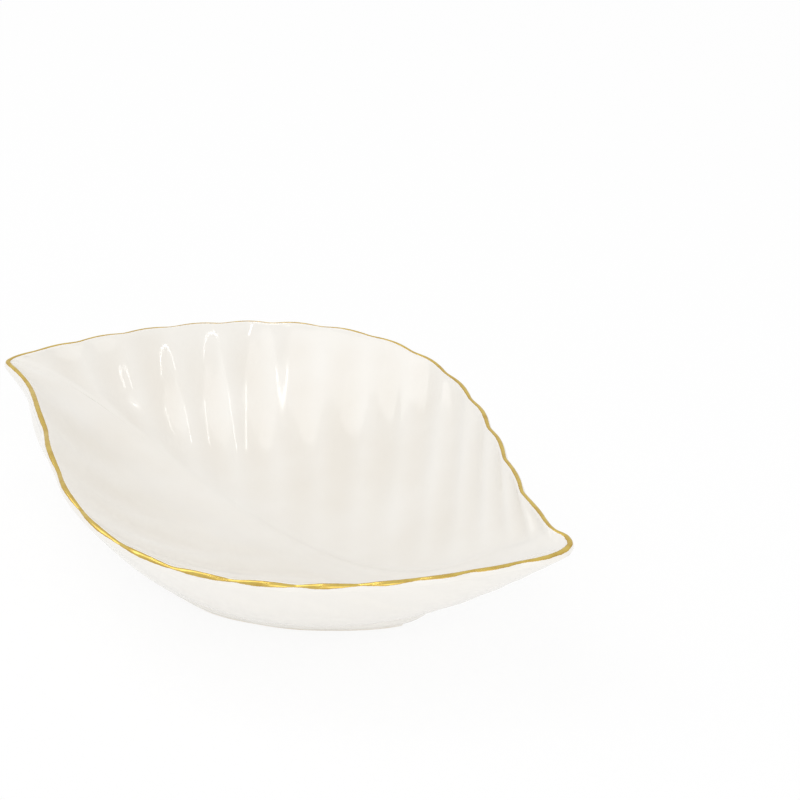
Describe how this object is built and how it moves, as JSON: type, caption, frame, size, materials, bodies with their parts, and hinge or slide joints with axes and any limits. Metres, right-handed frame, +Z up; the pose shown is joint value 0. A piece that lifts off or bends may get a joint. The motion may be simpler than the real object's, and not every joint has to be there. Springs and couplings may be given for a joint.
{
  "type": "leaf-shaped serving dish",
  "caption": "Shallow leaf-shaped ceramic serving dish with a raised midrib, fluted veins, a scalloped gilded lip and a low foot, for serving food or sweets at table.",
  "frame": {"origin": "middle of the dish seen from above, on the surface that the foot stands on", "axes": "+X points along the leaf to its thick stem end, +Y across it, +Z up"},
  "size_m": [0.2, 0.1412, 0.04],
  "materials": {
    "ivory_glaze": "glossy ivory white glaze over a cast ceramic body, a little thin and warm on raised edges",
    "bare_ceramic": "glazed on its sides, bare fired ceramic on its standing edge",
    "gold_lustre": "hand-painted gold lustre over the glaze, glossy and uneven in width"
  },
  "bodies": {
    "root": {"leaf_body": "ivory_glaze", "foot_ring": "bare_ceramic", "gold_rim": "gold_lustre"}
  },
  "joints": []
}
